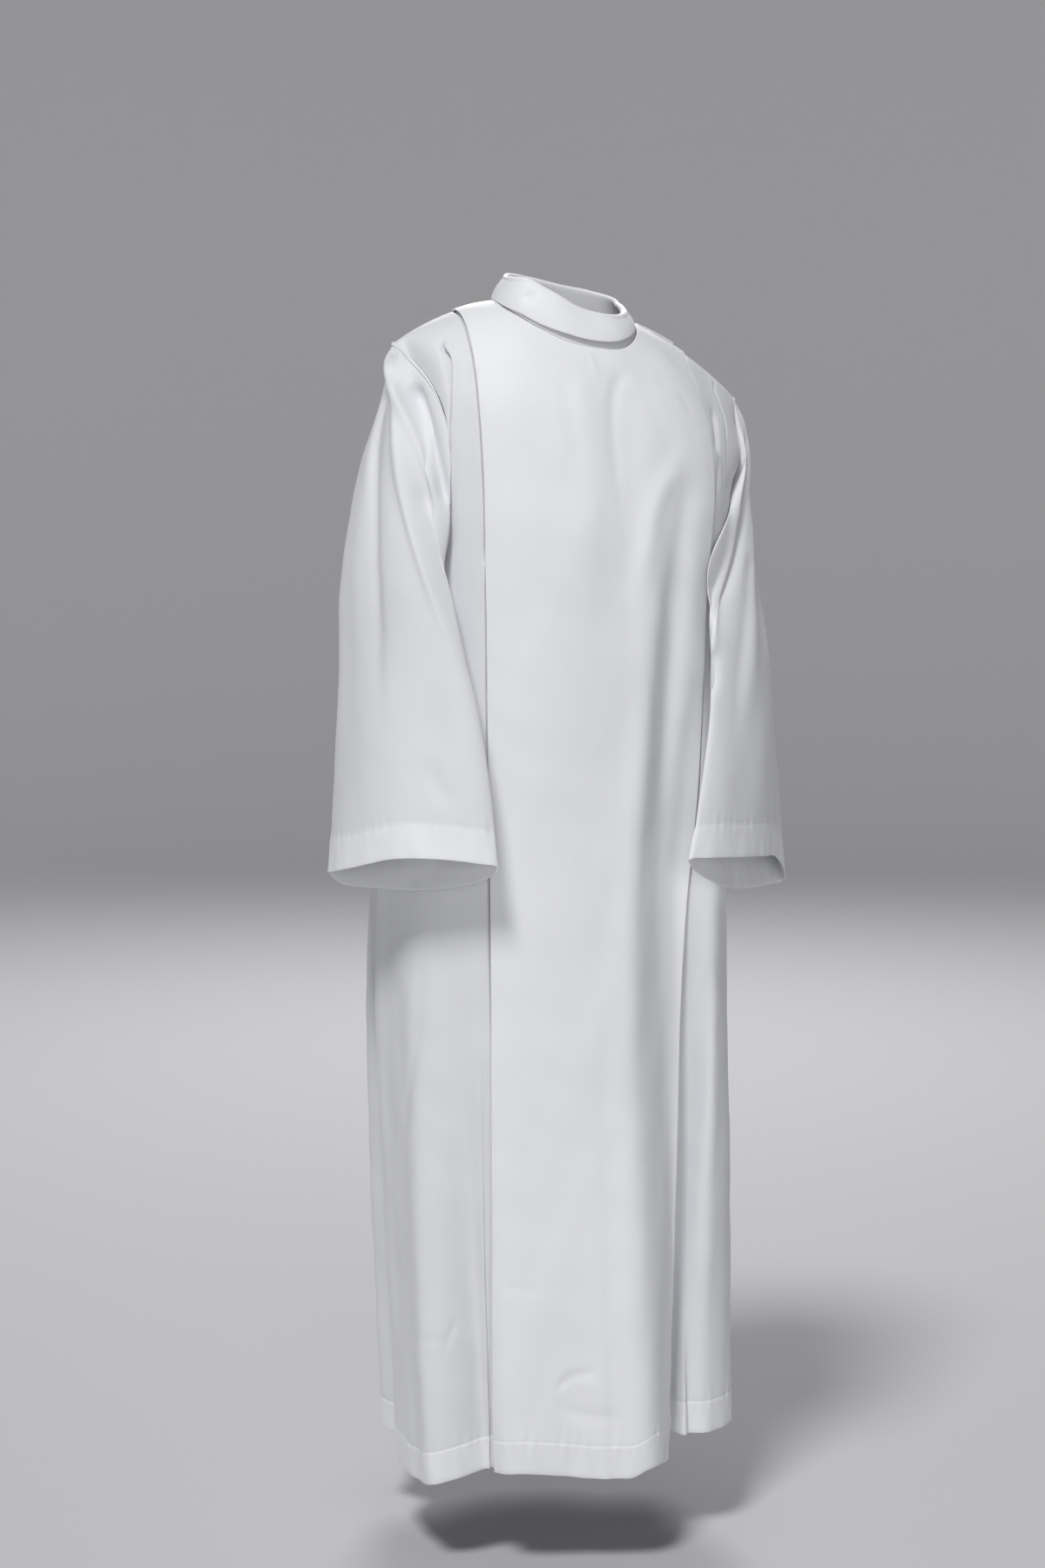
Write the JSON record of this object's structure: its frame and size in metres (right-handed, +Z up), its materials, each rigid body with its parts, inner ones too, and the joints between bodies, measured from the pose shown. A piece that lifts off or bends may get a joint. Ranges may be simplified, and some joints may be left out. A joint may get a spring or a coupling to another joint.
{
  "type": "alb robe",
  "caption": "Long white alb worn upright and hollow: wide centre panel with folded edges, turned-down collar, shoulder opening with placket, straight wide sleeves and deep hems.",
  "frame": {"origin": "where the wearer's shoulders hold the robe, midway between the two shoulder points", "axes": "+Z up along the robe, the front faces -Y, the wearer's right side is at -X"},
  "size_m": [0.6139, 0.4426, 1.5062],
  "materials": {
    "front_centre_cloth": "plain white polyester, soft satin sheen",
    "front_side_right_cloth": "plain white polyester, single layer",
    "front_side_left_cloth": "plain white polyester, single layer",
    "back_cloth": "plain white polyester, single layer",
    "sleeve_right_cloth": "plain white polyester, single layer",
    "sleeve_left_cloth": "plain white polyester, single layer",
    "collar_cloth": "plain white polyester, doubled and stiffened",
    "shoulder_placket_cloth": "plain white polyester, doubled"
  },
  "bodies": {
    "root": {"front_centre": "front_centre_cloth", "front_side_right": "front_side_right_cloth", "front_side_left": "front_side_left_cloth", "back": "back_cloth", "sleeve_right": "sleeve_right_cloth", "sleeve_left": "sleeve_left_cloth", "collar": "collar_cloth", "shoulder_placket": "shoulder_placket_cloth"}
  },
  "joints": []
}
